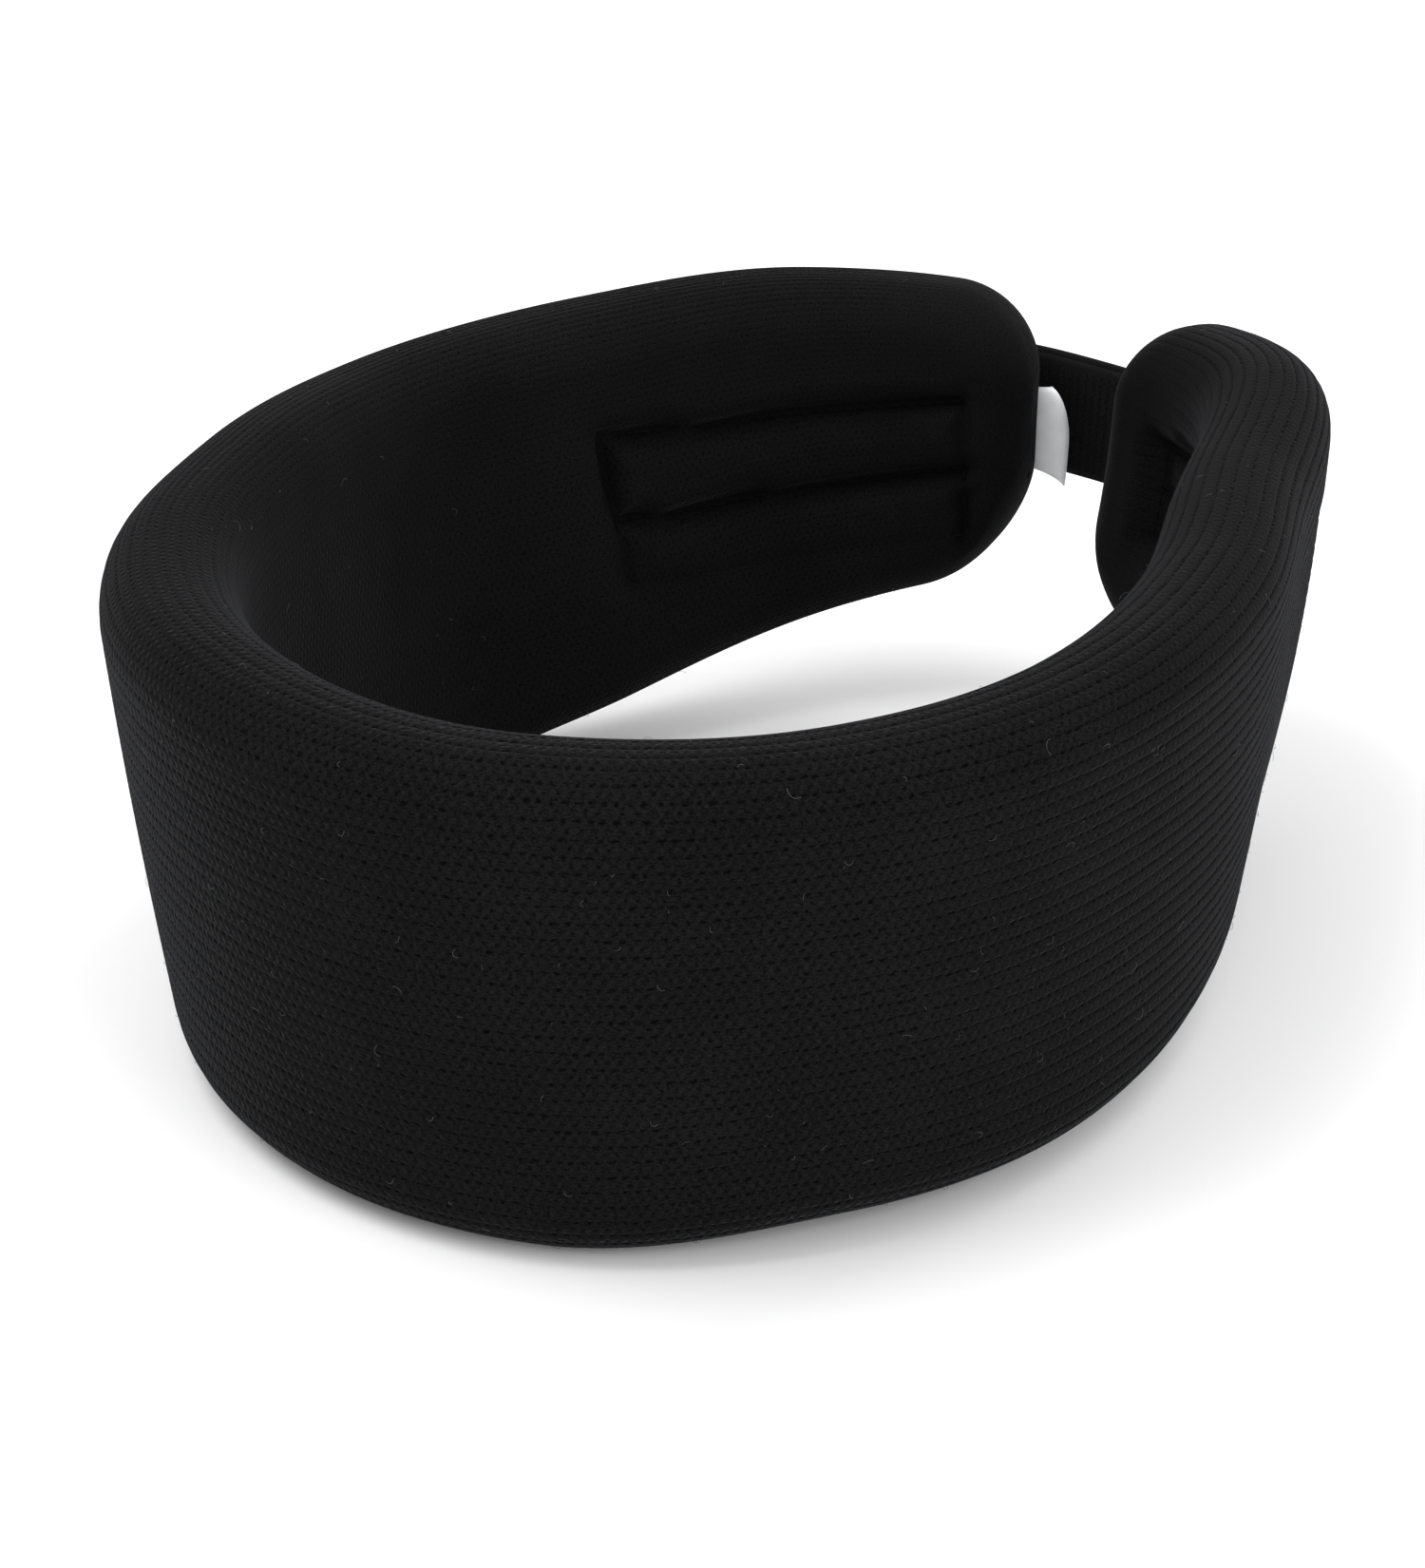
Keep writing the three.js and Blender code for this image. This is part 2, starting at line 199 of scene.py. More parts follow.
def edges(s, inset):
    """Heights of the bottom and top edge, and half the thickness, at stations s."""
    depth = np.maximum(HALF - inset - np.abs(s), 0)  # from the tip
    share = (s / HALF) ** 2
    mid, tip = of_side(s, "mid_top"), of_side(s, "tip_top")
    fourth = (mid / MIDWAY**2 - tip) / (MIDWAY**2 - 1)
    rise = (tip - fourth) * share + fourth * share**2
    top = FRONT_HEIGHT + rise - inset - corner_cut(of_side(s, "top_corner") - inset, depth)
    lift = np.clip((np.abs(s) / HALF - FLAT_SHARE) / (1 - FLAT_SHARE), 0, 1) ** LIFT_POWER
    low_cut = corner_cut(of_side(s, "bottom_corner") - inset, depth)
    bottom = of_side(s, "tip_lift") * lift + inset + low_cut
    radius = HALF_THICK - inset
    half = np.sqrt(radius**2 - np.clip(radius - depth, 0, radius) ** 2)
    return bottom, top, half


def outline(s, inset, count):
    """Cross-sections at stations s as (n, z), count points evenly round, from the middle of the bottom."""
    bottom, top, half = (e[:, None] for e in edges(s, inset))
    on_floor = smooth(1 - (np.abs(s)[:, None] / HALF - FLAT_SHARE) / 0.25)
    tall = (top - bottom) / 2
    top_radius = np.minimum(ROUNDING * half, tall)
    flat = LAND / 2 * on_floor + (1 - ROUNDING) * half * (1 - on_floor)
    low_radius = np.minimum(np.maximum(half - flat, half / 2), tall)
    quarter = np.linspace(0, np.pi / 2, 24)
    n, z = [0 * half], [bottom]
    for side, radius, level, start in (
        (1, low_radius, bottom + low_radius, -90), (1, top_radius, top - top_radius, 0),
        (-1, top_radius, top - top_radius, 90), (-1, low_radius, bottom + low_radius, 180),
    ):
        angle = np.radians(start) + quarter
        n.append(side * (half - radius) + radius * np.cos(angle))
        z.append(level + radius * np.sin(angle))
    n, z = np.concatenate(n + [0 * half], 1), np.concatenate(z + [bottom], 1)
    way = np.cumsum(np.hypot(np.diff(n, prepend=n[:, :1]), np.diff(z, prepend=z[:, :1])), 1)
    share = np.arange(count) / count
    return (
        np.array([np.interp(share * w[-1], w, row) for w, row in zip(way, n)]),
        np.array([np.interp(share * w[-1], w, row) for w, row in zip(way, z)]),
    )


# ---- seams through the padding ----

def seam_point(seam, a, b):
    """(s, z) inside a sewn box: a runs from its front side to its tip side, b from low to high."""
    (f0, f1), (t0, t1) = np.array(seam["front"]), np.array(seam["tip"])
    a, b = np.asarray(a, float)[..., None], np.asarray(b, float)[..., None]
    dip = 4 * seam["sag"] * np.clip(a, 0, 1) * (1 - np.clip(a, 0, 1)) * np.array([0.0, -1.0])
    return (1 - a) * ((1 - b) * f0 + b * f1) + a * ((1 - b) * t0 + b * t1) + dip


def sewing_order(seam):
    """Corners (a, b) of a box stitch with a line across it."""
    low, high = seam["cross"]
    return [(0, low), (0, 1), (1, 1), (1, high), (0, low), (0, 0), (1, 0), (1, high)]


LINE_PULL = (1, 1, 0.8, 1, 0.7, 0.25, 0.8)  # in sewing order; the lowest line barely shows


def sag(s, seam):
    """How far a seam's long lines hang below straight ones at stations s."""
    share = np.clip((s - seam["front"][1][0]) / (seam["tip"][1][0] - seam["front"][1][0]), 0, 1)
    return 4 * seam["sag"] * share * (1 - share)


def line_distances(s, z, seam):
    """Distance along the face from places (s, z) to each stitch line, with how hard the line pulls."""
    route = [seam_point(seam, a, b) for a, b in sewing_order(seam)]
    z = z + sag(s, seam)
    found = []
    for (s0, z0), (s1, z1), pull in zip(route, route[1:], LINE_PULL):
        ds, dz = s1 - s0, z1 - z0
        t = np.clip(((s - s0) * ds + (z - z0) * dz) / (ds * ds + dz * dz), 0, 1)
        found.append((np.hypot(s - s0 - t * ds, z - z0 - t * dz), pull))
    return found


def seam_distance(s, z, seam):
    """Distance along the face from places (s, z) to the nearest stitch line."""
    return np.minimum.reduce([near for near, _ in line_distances(s, z, seam)])


def tape_cover(s, z, seam, soft=3.0, past_tip_side=0.0):
    """1 under the sewn tape, falling to 0 over a soft edge."""
    ends = np.array([seam["front"], seam["tip"]]).reshape(-1, 2)
    (s0, z0), (s1, z1) = ends.min(0) - SEAM_MARGIN, ends.max(0) + SEAM_MARGIN
    inside = np.minimum(np.minimum(s - s0, s1 + past_tip_side - s), np.minimum(z - z0, z1 - z))
    return smooth(0.5 + inside / soft)


def sunk(s, z, outer):
    """How far the sewing draws the face in at (s, z), on the outer or the inner face."""
    depth = np.zeros(np.shape(s))
    for seam in (LOOP_SEAM, ANCHOR_SEAM):
        if outer:
            near = seam_distance(s, z, seam)
            depth += 0.35 * bell(near, 1.6)
            if seam is ANCHOR_SEAM:
                depth += 2.1 * tape_cover(s, z, seam, 5.0, 12.0)
            else:
                depth += 0.7 * tape_cover(s, z, seam)
            continue
        narrow, wide = INNER_GROOVES[seam["name"]]
        groove = [
            pull * (narrow * bell(near, GROOVE_NARROW) + wide * bell(near, GROOVE_WIDE))
            for near, pull in line_distances(s, z, seam)
        ]
        depth += np.maximum.reduce(groove)
        if seam is ANCHOR_SEAM:
            depth += 1.7 * tape_cover(s, z, seam, 9.0)
    return depth


# ---- grid of the cover ----

def half_stations(side):
    """Stations of one half from the front to the tip, closer together by the seams that cross the band."""
    fine = np.arange(0, HALF - HALF_THICK + 0.01, 0.25)
    seams = (180, 249) if side < 0 else (201.2, 236.8)
    weight = 1 + sum(1.3 * bell(fine - seam, 3.5) for seam in seams)
    steps = np.cumsum(weight) - weight[0]
    along = np.interp(np.linspace(0, steps[-1], STATIONS), steps, fine)
    angle = np.radians(np.linspace(0, 87, TIP_RINGS + 1)[1:])
    return side * np.concatenate([along, HALF - HALF_THICK + HALF_THICK * np.sin(angle)])


def band_stations():
    """Stations from the left tip to the right tip."""
    return np.concatenate([half_stations(-1)[:0:-1], half_stations(1)])


def grid_normals(points):
    """Outward normals of a grid of points (stations, round) that closes on itself round."""
    along = np.gradient(points, axis=0)
    round_it = np.roll(points, -1, 1) - np.roll(points, 1, 1)
    return unit(np.cross(along, round_it))


def tube_faces(rows, columns, start=0):
    """Quads of a tube grid, rows of columns points each."""
    r, c = np.meshgrid(np.arange(rows - 1), np.arange(columns), indexing="ij")
    d = (c + 1) % columns
    quads = np.stack([r * columns + c, r * columns + d, (r + 1) * columns + d, (r + 1) * columns + c], -1)
    return quads.reshape(-1, 4) + start


def strip_cap(ring):
    """Quads and triangles across a ring of vertices that is folded nearly flat."""
    count = len(ring)
    faces = []
    for k in range(count // 2):
        corners = [ring[k], ring[k + 1], ring[(count - k - 1) % count], ring[(count - k) % count]]
        faces.append(list(dict.fromkeys(corners)))
    return [f for f in faces if len(f) > 2]


def flip(faces):
    """Faces turned the other way."""
    return [list(f)[::-1] for f in faces]


# ---- meshes ----

def outward(points, faces):
    """The faces of a closed shape, turned so that they face outward."""
    volume = 0.0
    for corners in {len(f) for f in faces}:
        group = np.asarray(points)[np.array([f for f in faces if len(f) == corners])]
        for k in range(1, corners - 1):
            volume += np.einsum("ij,ij->", group[:, 0], np.cross(group[:, k], group[:, k + 1]))
    return flip(faces) if volume < 0 else faces


def make(name, points, faces, material, normals=None, places=None, period=0, seam_shade=None):
    """A smooth mesh piece. places are each vertex's weave coordinates, period is where they wrap;
    the last argument, from 0 to 1, is how much painted shade darkens the cloth there, along the seams'
    grooves."""
    mesh = bpy.data.meshes.new(name)
    mesh.from_pydata((np.asarray(points) / 1000).tolist(), [], [list(map(int, f)) for f in faces])
    mesh.shade_smooth()
    if places is not None:
        corner = np.empty(len(mesh.loops), np.int32)
        mesh.loops.foreach_get("vertex_index", corner)
        starts = np.empty(len(mesh.polygons), np.int32)
        mesh.polygons.foreach_get("loop_start", starts)
        uv = np.array(places, float)[corner]
        if period:
            high = np.maximum.reduceat(uv[:, 1], starts)
            high = np.repeat(high, np.diff(np.append(starts, len(corner))))
            uv[:, 1] += period * (high - uv[:, 1] > period / 2)
        mesh.uv_layers.new(name="weave").data.foreach_set("uv", uv.astype(np.float32).ravel())
    if seam_shade is not None:
        mesh.attributes.new("seam_shade", "FLOAT", "POINT").data.foreach_set("value", seam_shade.astype(np.float32))
    if normals is not None:
        mesh.normals_split_custom_set_from_vertices(normals.tolist())
    mesh.materials.append(material)
    piece = bpy.data.objects.new(name, mesh)
    bpy.context.scene.collection.objects.link(piece)
    return piece


def tubes(paths, outs, radius, sides):
    """Points and faces of many alike tubes; paths and outs are (tubes, points, 3), radius (points,)."""
    count, steps, _ = paths.shape
    ahead = unit(np.gradient(paths, axis=1))
    across = unit(np.cross(ahead, outs))
    up = np.cross(across, ahead)
    angle = 2 * np.pi * np.arange(sides) / sides
    ring = np.cos(angle)[:, None] * up[:, :, None] + np.sin(angle)[:, None] * across[:, :, None]
    points = paths[:, :, None] + np.broadcast_to(radius, (steps,))[:, None, None] * ring
    side = tube_faces(steps, sides)
    low = np.arange(sides)
    faces = []
    for k in range(count):
        base = k * steps * sides
        faces.extend((side + base).tolist())
        faces.append((low[::-1] + base).tolist())
        faces.append((low + base + (steps - 1) * sides).tolist())
    return points.reshape(-1, 3), outward(points.reshape(-1, 3), faces)


def along_route(corners, step):
    """Places every step along a route of corners, as (from, to) pairs of one stitch each."""
    pairs = []
    for start, end in zip(corners, corners[1:]):
        start, end = np.array(start, float), np.array(end, float)
        count = max(1, round(float(np.linalg.norm(end - start)) / step))
        marks = np.linspace(0, 1, count + 1)[:, None]
        places = start + (end - start) * marks
        pairs += list(zip(places[:-1], places[1:]))
    return np.array(pairs)


LOOP_STITCH, STRAP_STITCH, END_STITCH = 2.9, 2.6, 2.3  # stitch lengths
STITCH_DIP = np.array([-0.32, -0.05, 0.1, 0.14, 0.1, -0.05, -0.32])
STITCH_RADIUS = np.array([0.12, 0.19, 0.22, 0.22, 0.22, 0.19, 0.12])


def stitches(name, pairs, place, body, sign=1, thick=1.0, step_gap=0.06):
    """Single stitches of thread; place(a, b, lift) gives points, sign is 1 where out is +n."""
    t = np.linspace(step_gap, 1 - step_gap, len(STITCH_DIP))
    a = pairs[:, :1, 0] + (pairs[:, 1:, 0] - pairs[:, :1, 0]) * t
    b = pairs[:, :1, 1] + (pairs[:, 1:, 1] - pairs[:, :1, 1]) * t
    wobble = rng.normal(0, 0.05, (len(pairs), 1))
    paths = place(a + wobble, b - wobble, sign * STITCH_DIP)
    outs = unit(place(a, b, sign * 1.0) - place(a, b, 0.0))
    points, faces = tubes(paths, outs, thick * STITCH_RADIUS, 8)
    piece = make(name, points, faces, materials["thread"])
    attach(piece, body)
    return piece


def slab(points, normals, thick, lift=0.0):
    """Closed sheet of cloth on a grid of points: thick along normals, with rounded edges."""
    rows, columns, _ = points.shape
    r, c = np.meshgrid(np.arange(rows), np.arange(columns), indexing="ij")
    rim = np.minimum(np.minimum(r, rows - 1 - r), np.minimum(c, columns - 1 - c))
    full = np.where(rim == 0, 0.55, np.where(rim == 1, 0.9, 1.0))[..., None]
    middle = points + normals * (lift + thick / 2)
    outer, inner = middle + normals * thick / 2 * full, middle - normals * thick / 2 * full
    index = np.arange(rows * columns).reshape(rows, columns)
    quads = np.stack([index[:-1, :-1], index[1:, :-1], index[1:, 1:], index[:-1, 1:]], -1).reshape(-1, 4)
    faces = quads.tolist() + (quads[:, ::-1] + rows * columns).tolist()
    rim_way = np.concatenate([index[0, :-1], index[:-1, -1], index[-1, :0:-1], index[:0:-1, 0]])
    after = np.roll(rim_way, -1)
    faces += np.stack([rim_way, after, after + rows * columns, rim_way + rows * columns], -1).tolist()
    points = np.concatenate([outer.reshape(-1, 3), inner.reshape(-1, 3)])
    return points, outward(points, faces)


# ---- materials ----

class Tree:
    """Small helper round a material's nodes."""

    def __init__(self, name, roughness, specular=0.3, sheen=0.0, sheen_roughness=0.5):
        self.material = bpy.data.materials.new(name)
        self.material.use_nodes = True
        self.tree = self.material.node_tree
        self.shader = self.tree.nodes["Principled BSDF"]
        self.shader.inputs["Roughness"].default_value = roughness
        self.shader.inputs["Specular IOR Level"].default_value = specular
        self.shader.inputs["Sheen Weight"].default_value = sheen
        self.shader.inputs["Sheen Roughness"].default_value = sheen_roughness
        self.shader.inputs["Sheen Tint"].default_value = (0.9, 0.92, 1.0, 1)

    def add(self, kind, wires=(), **settings):
        """A node with its settings; wires are (input, value or socket) pairs."""
        node = self.tree.nodes.new(kind)
        for key, value in settings.items():
            setattr(node, key, value)
        for key, value in wires:
            if isinstance(value, bpy.types.NodeSocket):
                self.tree.links.new(value, node.inputs[key])
            else:
                node.inputs[key].default_value = value
        return node

    def sum(self, operation, *values):
        wires = list(enumerate(values))
        return self.add("ShaderNodeMath", wires, operation=operation).outputs[0]

    def weave(self):
        """The two weave coordinates, and both as a vector."""
        vector = self.add("ShaderNodeUVMap", uv_map="weave").outputs[0]
        parts = self.add("ShaderNodeSeparateXYZ", [(0, vector)]).outputs
        return parts[0], parts[1], vector

    def noise(self, vector, scale, detail=2.0, stretch=(1, 1, 1)):
        mapped = self.add("ShaderNodeMapping", [("Vector", vector), ("Scale", stretch)]).outputs[0]
        wires = [("Vector", mapped), ("Scale", scale), ("Detail", detail)]
        return self.add("ShaderNodeTexNoise", wires).outputs[0]

    def colour(self, amount, low, high):
        """Base colour between two linear colours, by an amount from 0 to 1."""
        ramp = self.add("ShaderNodeMix", [(0, amount), (6, (*low, 1)), (7, (*high, 1))], data_type="RGBA")
        self.tree.links.new(ramp.outputs[2], self.shader.inputs["Base Color"])

    def bump(self, height, distance, strength=1.0):
        wires = [("Height", height), ("Distance", distance), ("Strength", strength)]
        self.tree.links.new(self.add("ShaderNodeBump", wires).outputs[0], self.shader.inputs["Normal"])

    def ramp(self, value, start, end):
        """0 up to start, 1 from end on, in a straight line between."""
        wires = [("Value", value), ("From Min", start), ("From Max", end)]
        return self.add("ShaderNodeMapRange", wires).outputs[0]

    def bell(self, distance, width):
        """1 at distance 0, falling to 0 over about twice the width."""
        ratio = self.sum("DIVIDE", distance, width)
        return self.sum("EXPONENT", self.sum("MULTIPLY", self.sum("MULTIPLY", ratio, ratio), -1.0))

    def wave(self, value, cycles, phase=0.0):
        """0 to 1 and back, cycles times for each unit of value."""
        turns = self.sum("MULTIPLY_ADD", value, 2 * np.pi * cycles, phase)
        return self.sum("MULTIPLY_ADD", self.sum("SINE", turns), 0.5, 0.5)


WARP_PITCH, WEFT_PITCH = 0.9, 0.55  # of the webbing
KNIT_DARK, KNIT_LIGHT = (0.0013, 0.0013, 0.00135), (0.0088, 0.0088, 0.0091)


def knit_material():
    """Black rib knit: on every wale two rows of slanting stitches, with staggered gaps that are sunk in the
    bump and darkened with painted shade; painted shade also darkens the seams' grooves.
    """
    t = Tree("knit_black", 1.0, 0.03, 0.05, 0.3)
    course, wale, vector = t.weave()
    in_mm = t.add("ShaderNodeMapping", [("Vector", vector), ("Scale", (COURSE, WALE, 1))]).outputs[0]
    stray = t.noise(in_mm, 0.3, 2.0)
    drift = t.noise(in_mm, 0.15, 2.0)
    plain_wale = wale
    uneven = t.noise(in_mm, 1.3, 2.0)
    wale = t.sum("MULTIPLY_ADD", t.sum("SUBTRACT", stray, 0.5), 0.35, wale)
    wale = t.sum("MULTIPLY_ADD", t.sum("SUBTRACT", uneven, 0.5), 0.3, wale)
    share = t.sum("FRACT", wale)
    to_groove = t.sum("SUBTRACT", 0.5, t.sum("ABSOLUTE", t.sum("SUBTRACT", share, 0.5)))
    to_middle = t.sum("SUBTRACT", 0.5, to_groove)
    place = t.sum("MULTIPLY", course, COURSE)
    to_right = t.ramp(place, 60, 130)
    to_left = t.ramp(place, -30, -90)
    from_rim = t.sum("ABSOLUTE", t.sum("SUBTRACT", plain_wale, RIM_WALES))
    left_rim = t.sum("MULTIPLY", to_left, t.ramp(from_rim, 14, 7))
    stagger = t.sum("MULTIPLY", t.ramp(to_middle, 0.12, 0.38), 0.5)
    shift = t.sum("MULTIPLY_ADD", uneven, 0.5, drift)
    loop = t.wave(t.sum("ADD", stagger, t.sum("MULTIPLY_ADD", shift, 1.5, course)), 1.0)
    line = t.sum("MULTIPLY", t.bell(to_groove, 0.09), t.sum("MULTIPLY_ADD", to_right, 0.5, 0.55))
    fine_line = t.sum("MULTIPLY", t.bell(to_middle, 0.09), t.sum("MULTIPLY_ADD", to_left, 0.45, 0.05))
    rows = t.sum("ADD", t.bell(to_groove, 0.14), t.bell(to_middle, 0.14))
    dots = t.sum("MULTIPLY", t.sum("MULTIPLY", rows, t.sum("SUBTRACT", 0.45, loop)), 1.5)
    no_dots = t.sum("MAXIMUM", to_right, left_rim)
    dots = t.sum("MULTIPLY", dots, t.sum("MULTIPLY_ADD", no_dots, -0.7, 1.0))
    worn = t.sum("MAXIMUM", t.sum("MULTIPLY_ADD", t.noise(in_mm, 0.9, 3.0), 3.6, -0.9), 0.1)
    at_tip = t.ramp(t.sum("ABSOLUTE", place), HALF - 32, HALF - 7)
    inside = t.ramp(t.sum("ABSOLUTE", t.sum("SUBTRACT", plain_wale, INNER_WALES)), 18, 12)
    plainer = t.sum("MULTIPLY_ADD", inside, -0.55, 1.0)
    plainer = t.sum("MULTIPLY", t.sum("MULTIPLY_ADD", at_tip, -0.75, 1.0), plainer)
    hollow = t.sum("ADD", t.sum("ADD", line, fine_line), dots)
    hollow = t.sum("MULTIPLY", t.sum("MULTIPLY", hollow, worn), plainer)
    fibres = t.noise(in_mm, 2.6, 4.0, (1.0, 1.5, 1.0))
    patches = t.noise(in_mm, 0.05, 3.0)
    height = t.sum("MULTIPLY_ADD", fibres, 0.8, t.sum("SUBTRACT", 1.0, hollow))
    t.bump(height, 0.00022, 0.65)
    # painted shade: the hollows of the knit are darkened in the colour as well as sunk in the bump
    tone = t.sum("MULTIPLY_ADD", hollow, -0.55, t.sum("MULTIPLY_ADD", fibres, 2.8, -0.8))
    tone = t.sum("MULTIPLY", t.sum("MAXIMUM", tone, 0.0), t.sum("MULTIPLY_ADD", patches, 0.8, 0.6))
    # painted shade: the knit is darkened by up to 45 % along the inner face's sewn grooves, standing in for
    # the shade that falls in them
    seam_shade = t.add("ShaderNodeAttribute", attribute_name="seam_shade").outputs["Fac"]
    tone = t.sum("MULTIPLY", tone, t.sum("MULTIPLY_ADD", seam_shade, -0.45, 1.0))
    t.colour(tone, KNIT_DARK, KNIT_LIGHT)
    return t.material


def webbing_material():
    """Woven black tape: warp ribs along it, crossed by fine weft."""
    t = Tree("webbing_black", 0.95, 0.03, 0.02)
    along, across, vector = t.weave()
    warp, weft = t.wave(across, 1 / WARP_PITCH), t.wave(along, 1 / WEFT_PITCH)
    shifted = t.wave(along, 1 / WEFT_PITCH, np.pi)
    pick = t.sum("MULTIPLY", warp, weft)
    under = t.sum("MULTIPLY", t.sum("SUBTRACT", 1.0, warp), shifted)
    height = t.sum("ADD", pick, under)
    fibres = t.noise(vector, 4.0, 3.0)
    t.bump(t.sum("MULTIPLY_ADD", fibres, 0.3, height), 0.00016, 0.8)
    tone = t.sum("MULTIPLY_ADD", height, 0.5, t.sum("MULTIPLY", fibres, 0.5))
    t.colour(tone, (0.003, 0.003, 0.0032), (0.0145, 0.0145, 0.0155))
    return t.material


def plain_material(name, low, high, roughness, specular, sheen, scale, distance):
    """A fine-grained material: noise in its colour and its bump. scale is in grains per millimetre."""
    t = Tree(name, roughness, specular, sheen)
    vector = t.add("ShaderNodeTexCoord").outputs["Object"]
    grain = t.noise(vector, scale * 1000, 3.0)
    t.colour(grain, low, high)
    t.bump(grain, distance, 0.8)
    return t.material


def satin_material():
    """White satin ribbon: fine threads across it, and a soft gloss."""
    t = Tree("label_satin", 0.4, 0.45, 0.1)
    along, across, vector = t.weave()
    rows = t.wave(across, 1 / 0.28)
    patches = t.noise(vector, 0.4, 2.0)
    t.bump(t.sum("MULTIPLY_ADD", patches, 1.5, rows), 0.00003, 0.6)
    tone = t.sum("MULTIPLY_ADD", rows, 0.3, t.sum("MULTIPLY", patches, 0.7))
    t.colour(tone, (0.66, 0.67, 0.69), (0.88, 0.88, 0.89))
    return t.material


materials = {
    "knit": knit_material(),
    "webbing": webbing_material(),
    "label_satin": satin_material(),
    "foam": plain_material(
        "foam_cells", (0.6, 0.56, 0.46), (0.78, 0.74, 0.63), 0.9, 0.2, 0.1, 1.4, 0.0004),
    "hook_plastic": plain_material(
        "hook_nylon", (0.005, 0.005, 0.0053), (0.014, 0.014, 0.0148), 0.9, 0.04, 0, 2.0, 0.00005),
    "loop_pile": plain_material(
        "loop_pile", (0.003, 0.003, 0.0034), (0.012, 0.012, 0.0135), 0.95, 0.06, 0.06, 2.5, 0.0001),
    "thread": plain_material(
        "sewing_thread", (0.0015, 0.0015, 0.0016), (0.005, 0.005, 0.0053), 0.8, 0.04, 0.0, 3.0, 0.00006),
    "lint": plain_material(
        "lint_fibre", (0.04, 0.04, 0.04), (0.13, 0.13, 0.13), 0.8, 0.1, 0.05, 1.0, 0.00001),
}


# ---- padded cover: a cloth simulation over the foam ----

CLOTH_STEP = 3.5  # millimetres between the simulation's points
CLOTH_COLUMNS = 48
CLOTH_FRAMES = 20
SWELL_CAP = 1.6  # the most that a point of the cloth may move


def settle_cloth(stations, count):
    """Cloth over the foam, held in the seams: how far it ends from the plain band, along the normals,
    on a grid of stations and count points round. The pins on the free points are so strong that these
    end under 0.01 mm from their start: the movement is the depth at which the held points begin."""
    n, z = outline(stations, 0.0, count)
    s = np.repeat(stations[:, None], count, 1)
    plain = at(s, n, z)
    normals = grid_normals(plain)
    flat_face = smooth((np.abs(n) - 0.7 * HALF_THICK) / (0.2 * HALF_THICK))
    drawn = sunk(s, z, False) * flat_face * (n < 0)
    held = (drawn > 1.2) | (np.abs(s) > HALF - 3)
    mesh = bpy.data.meshes.new("cloth")
    start = plain - normals * (drawn * held)[..., None]
    faces = tube_faces(len(stations), count)
    mesh.from_pydata((start.reshape(-1, 3) / 1000).tolist(), [], faces.tolist())
    cloth = bpy.data.objects.new("cloth", mesh)
    bpy.context.scene.collection.objects.link(cloth)
    cloth.shape_key_add(name="Basis")
    rest = cloth.shape_key_add(name="rest")
    rest.data.foreach_set("co", (plain / 1000).astype(np.float32).ravel())
    group = cloth.vertex_groups.new(name="held")
    group.add(np.flatnonzero(held).tolist(), 1.0, "REPLACE")
    group.add(np.flatnonzero(~held).tolist(), 0.35, "REPLACE")
    settings = cloth.modifiers.new("cloth", "CLOTH").settings
    settings.rest_shape_key = rest
    settings.vertex_group_mass = "held"
    settings.pin_stiffness = 2.0
    settings.quality = 6
    settings.mass = 0.2
    settings.tension_stiffness = 20
    settings.compression_stiffness = 12
    settings.shear_stiffness = 8
    settings.bending_stiffness = 0.8
    settings.use_pressure = True
    settings.uniform_pressure_force = 4
    settings.effector_weights.gravity = 0
    scene = bpy.context.scene
    for number in range(1, CLOTH_FRAMES + 1):
        scene.frame_set(number)
    found = cloth.evaluated_get(bpy.context.evaluated_depsgraph_get()).data
    ended = np.empty(len(mesh.vertices) * 3, np.float32)
    found.vertices.foreach_get("co", ended)
    scene.frame_set(1)
    bpy.data.objects.remove(cloth)
    return ((ended.reshape(plain.shape) * 1000 - plain) * normals).sum(-1)


def cubic(rows, places):
    """Catmull-Rom interpolation of rows at fractional places along the first axis."""
    whole = np.clip(np.floor(places).astype(int), 0, len(rows) - 2)
    t = (places - whole)[:, None]
    p = [rows[np.clip(whole + k, 0, len(rows) - 1)] for k in (-1, 0, 1, 2)]
    return 0.5 * (
        2 * p[1] + (p[2] - p[0]) * t + (2 * p[0] - 5 * p[1] + 4 * p[2] - p[3]) * t**2
        + (3 * (p[1] - p[2]) + p[3] - p[0]) * t**3
    )


stations = band_stations()
columns = WALES * POINTS_PER_WALE
n, z = outline(stations, 0.0, columns)
s = np.repeat(stations[:, None], columns, 1)
plain = at(s, n, z)
plain_normals = grid_normals(plain)
outer_face = smooth((n - 0.7 * HALF_THICK) / (0.2 * HALF_THICK))
inner_face = smooth((-n - 0.7 * HALF_THICK) / (0.2 * HALF_THICK))

swell = np.zeros_like(n)
coarse = np.linspace(-(HALF - 1.5), HALF - 1.5, round(2 * HALF / CLOTH_STEP))
moved = settle_cloth(coarse, CLOTH_COLUMNS)
moved = SWELL_CAP * np.tanh(moved / SWELL_CAP)
places = np.clip((stations - coarse[0]) / (coarse[1] - coarse[0]), 0, len(coarse) - 1)
lengthwise = cubic(moved, places)
wrapped = np.concatenate([lengthwise[:, -2:], lengthwise, lengthwise[:, :3]], 1)
swell = cubic(wrapped.T, 2 + np.arange(columns) * CLOTH_COLUMNS / columns).T

